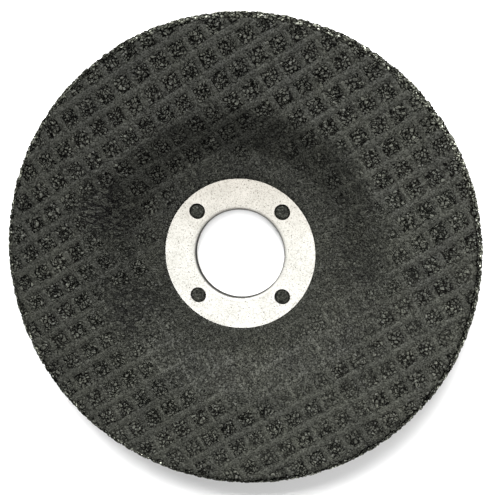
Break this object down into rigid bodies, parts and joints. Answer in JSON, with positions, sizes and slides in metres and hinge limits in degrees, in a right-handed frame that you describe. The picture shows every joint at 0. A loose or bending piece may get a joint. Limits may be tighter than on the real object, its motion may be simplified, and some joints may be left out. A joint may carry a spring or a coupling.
{
  "type": "depressed-centre grinding wheel",
  "caption": "Reinforced resin-bonded grinding wheel for an angle grinder, with a recessed hub, a steel centre bush and glass cloth pressed into its dark grit face.",
  "frame": {"origin": "centre of the bore on the back face of the hub, where the wheel seats on the grinder's backing flange", "axes": "+Z along the bore, towards the recessed working face; +X and +Y lie between the bush's key holes"},
  "size_m": [0.118, 0.118, 0.0106],
  "materials": {
    "steel": "zinc-plated pressed steel, satin, with fine dark specks",
    "warp_glass": "glass yarn soaked in dark phenolic resin, semi-matte ribbons",
    "weft_glass": "glass yarn soaked in dark phenolic resin, semi-matte thin yarns",
    "front_grit": "coarse dark resin-bonded abrasive grit",
    "back_grit": "coarse dark resin-bonded abrasive grit",
    "inner_glass": "resin-soaked glass yarn inside the wheel",
    "label_paper": "blank matt paper"
  },
  "bodies": {
    "root": {"centre_bush": "steel", "front_cloth_warp": "warp_glass", "front_cloth_weft": "weft_glass", "front_abrasive": "front_grit", "middle_cloth_weft": "inner_glass", "middle_cloth_warp": "inner_glass", "back_abrasive": "back_grit", "back_cloth_weft": "weft_glass", "back_cloth_warp": "warp_glass", "back_label": "label_paper"}
  },
  "joints": []
}
